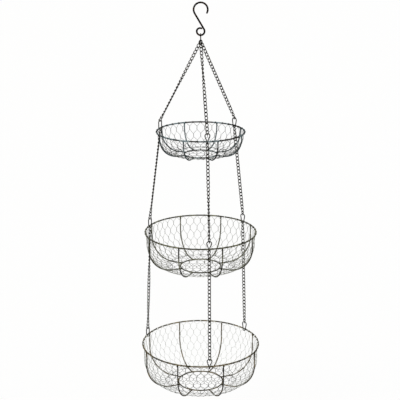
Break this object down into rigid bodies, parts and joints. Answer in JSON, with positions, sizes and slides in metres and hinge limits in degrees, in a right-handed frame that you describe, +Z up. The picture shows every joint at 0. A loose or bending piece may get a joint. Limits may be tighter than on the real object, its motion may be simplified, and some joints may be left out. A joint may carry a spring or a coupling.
{
  "type": "hanging fruit basket",
  "caption": "Hanging fruit basket: round wire bowls lined with hexagonal netting, one below the other on curb chains, gathered on a link in an S-hook.",
  "frame": {"origin": "underside of the hook's crown, on the axis of the baskets, where the hook hangs on what carries it", "axes": "+Z up, -Y towards the front of the picture, +X to its right"},
  "size_m": [0.3084, 0.309, 1.0075],
  "materials": {
    "blackened_steel": "blackened",
    "chain_steel": "worn dark grey",
    "pewter_wire": "antique pewter patina",
    "galvanised_netting": "galvanised"
  },
  "bodies": {
    "hanger": {"s_hook": "blackened_steel"},
    "gathering": {"gather_link": "chain_steel"},
    "top_basket": {"top_chain_front": "chain_steel", "top_chain_right": "chain_steel", "top_chain_left": "chain_steel", "top_rim": "pewter_wire", "top_ribs": "pewter_wire", "top_base_ring": "pewter_wire", "top_side_netting": "galvanised_netting", "top_floor_netting": "galvanised_netting", "top_clip_front": "pewter_wire", "top_clip_right": "pewter_wire", "top_clip_left": "pewter_wire"},
    "middle_front_top_link": {"middle_chain_front_top_link": "chain_steel"},
    "middle_front_chain": {"middle_chain_front": "chain_steel"},
    "middle_right_top_link": {"middle_chain_right_top_link": "chain_steel"},
    "middle_right_chain": {"middle_chain_right": "chain_steel"},
    "middle_left_top_link": {"middle_chain_left_top_link": "chain_steel"},
    "middle_left_chain": {"middle_chain_left": "chain_steel"},
    "middle_front_bottom_link": {"middle_chain_front_bottom_link": "chain_steel"},
    "middle_basket": {"middle_rim": "pewter_wire", "middle_ribs": "pewter_wire", "middle_base_ring": "pewter_wire", "middle_side_netting": "galvanised_netting", "middle_floor_netting": "galvanised_netting", "middle_clip_front": "pewter_wire", "middle_clip_right": "pewter_wire", "middle_clip_left": "pewter_wire"},
    "bottom_front_top_link": {"bottom_chain_front_top_link": "chain_steel"},
    "bottom_front_chain": {"bottom_chain_front": "chain_steel"},
    "bottom_right_top_link": {"bottom_chain_right_top_link": "chain_steel"},
    "bottom_right_chain": {"bottom_chain_right": "chain_steel"},
    "bottom_left_top_link": {"bottom_chain_left_top_link": "chain_steel"},
    "bottom_left_chain": {"bottom_chain_left": "chain_steel"},
    "bottom_front_bottom_link": {"bottom_chain_front_bottom_link": "chain_steel"},
    "bottom_basket": {"bottom_rim": "pewter_wire", "bottom_ribs": "pewter_wire", "bottom_base_ring": "pewter_wire", "bottom_side_netting": "galvanised_netting", "bottom_floor_netting": "galvanised_netting", "bottom_clip_front": "pewter_wire", "bottom_clip_right": "pewter_wire", "bottom_clip_left": "pewter_wire"}
  },
  "joints": [
    {"name": "gathering_swing", "type": "hinge", "parent": "hanger", "child": "gathering", "pos_m": [0, 0, -0.07577], "axis": [1, 0, 0], "range_deg": [-20, 20]},
    {"name": "top_side_swing", "type": "hinge", "parent": "gathering", "child": "top_basket", "pos_m": [0, 0, -0.09275], "axis": [0, 1, 0], "range_deg": [-15, 15]},
    {"name": "middle_fore_aft_swing", "type": "hinge", "parent": "top_basket", "child": "middle_front_top_link", "pos_m": [0.01631, -0.10913, -0.32294], "axis": [1, 0, 0], "range_deg": [-6, 6]},
    {"name": "middle_side_swing", "type": "hinge", "parent": "middle_front_top_link", "child": "middle_front_chain", "pos_m": [0.01648, -0.11029, -0.33181], "axis": [0, 1, 0], "range_deg": [-6, 6]},
    {"name": "middle_front_bottom_link_turn", "type": "hinge", "parent": "middle_front_chain", "child": "middle_front_bottom_link", "pos_m": [0.02088, -0.13968, -0.55549], "axis": [0, 1, 0], "range_deg": [-6, 6]},
    {"name": "middle_basket_level", "type": "hinge", "parent": "middle_front_bottom_link", "child": "middle_basket", "pos_m": [0.02105, -0.14082, -0.56419], "axis": [1, 0, 0], "range_deg": [-6, 6]},
    {"name": "middle_right_fore_aft_swing", "type": "hinge", "parent": "top_basket", "child": "middle_right_top_link", "pos_m": [0.08635, 0.06869, -0.32294], "axis": [1, 0, 0], "range_deg": [-6, 6]},
    {"name": "middle_right_side_swing", "type": "hinge", "parent": "middle_right_top_link", "child": "middle_right_chain", "pos_m": [0.08727, 0.06942, -0.33181], "axis": [0, 1, 0], "range_deg": [-6, 6]},
    {"name": "middle_left_fore_aft_swing", "type": "hinge", "parent": "top_basket", "child": "middle_left_top_link", "pos_m": [-0.10266, 0.04044, -0.32294], "axis": [1, 0, 0], "range_deg": [-6, 6]},
    {"name": "middle_left_side_swing", "type": "hinge", "parent": "middle_left_top_link", "child": "middle_left_chain", "pos_m": [-0.10376, 0.04087, -0.33181], "axis": [0, 1, 0], "range_deg": [-6, 6]},
    {"name": "bottom_fore_aft_swing", "type": "hinge", "parent": "middle_basket", "child": "bottom_front_top_link", "pos_m": [0.02101, -0.14059, -0.58663], "axis": [1, 0, 0], "range_deg": [-4, 4]},
    {"name": "bottom_side_swing", "type": "hinge", "parent": "bottom_front_top_link", "child": "bottom_front_chain", "pos_m": [0.02106, -0.14092, -0.59581], "axis": [0, 1, 0], "range_deg": [-4, 4]},
    {"name": "bottom_front_bottom_link_turn", "type": "hinge", "parent": "bottom_front_chain", "child": "bottom_front_bottom_link", "pos_m": [0.0225, -0.15055, -0.86448], "axis": [0, 1, 0], "range_deg": [-4, 4]},
    {"name": "bottom_basket_level", "type": "hinge", "parent": "bottom_front_bottom_link", "child": "bottom_basket", "pos_m": [0.02255, -0.15088, -0.8735], "axis": [1, 0, 0], "range_deg": [-4, 4]},
    {"name": "bottom_right_fore_aft_swing", "type": "hinge", "parent": "middle_basket", "child": "bottom_right_top_link", "pos_m": [0.11125, 0.08849, -0.58663], "axis": [1, 0, 0], "range_deg": [-4, 4]},
    {"name": "bottom_right_side_swing", "type": "hinge", "parent": "bottom_right_top_link", "child": "bottom_right_chain", "pos_m": [0.11151, 0.0887, -0.59581], "axis": [0, 1, 0], "range_deg": [-4, 4]},
    {"name": "bottom_left_fore_aft_swing", "type": "hinge", "parent": "middle_basket", "child": "bottom_left_top_link", "pos_m": [-0.13226, 0.0521, -0.58663], "axis": [1, 0, 0], "range_deg": [-4, 4]},
    {"name": "bottom_left_side_swing", "type": "hinge", "parent": "bottom_left_top_link", "child": "bottom_left_chain", "pos_m": [-0.13257, 0.05222, -0.59581], "axis": [0, 1, 0], "range_deg": [-4, 4]}
  ],
  "couplings": [
    {"joint": "middle_front_bottom_link_turn", "follows": "middle_side_swing", "ratio": -0.8056},
    {"joint": "middle_basket_level", "follows": "middle_fore_aft_swing", "ratio": -0.7671},
    {"joint": "middle_right_fore_aft_swing", "follows": "middle_fore_aft_swing", "ratio": 1},
    {"joint": "middle_right_side_swing", "follows": "middle_side_swing", "ratio": 0.9698},
    {"joint": "middle_left_fore_aft_swing", "follows": "middle_fore_aft_swing", "ratio": 1},
    {"joint": "middle_left_side_swing", "follows": "middle_side_swing", "ratio": 0.9698},
    {"joint": "bottom_front_bottom_link_turn", "follows": "bottom_side_swing", "ratio": -0.9384},
    {"joint": "bottom_basket_level", "follows": "bottom_fore_aft_swing", "ratio": -0.9308},
    {"joint": "bottom_right_fore_aft_swing", "follows": "bottom_fore_aft_swing", "ratio": 1},
    {"joint": "bottom_right_side_swing", "follows": "bottom_side_swing", "ratio": 0.9695},
    {"joint": "bottom_left_fore_aft_swing", "follows": "bottom_fore_aft_swing", "ratio": 1},
    {"joint": "bottom_left_side_swing", "follows": "bottom_side_swing", "ratio": 0.9695}
  ]
}
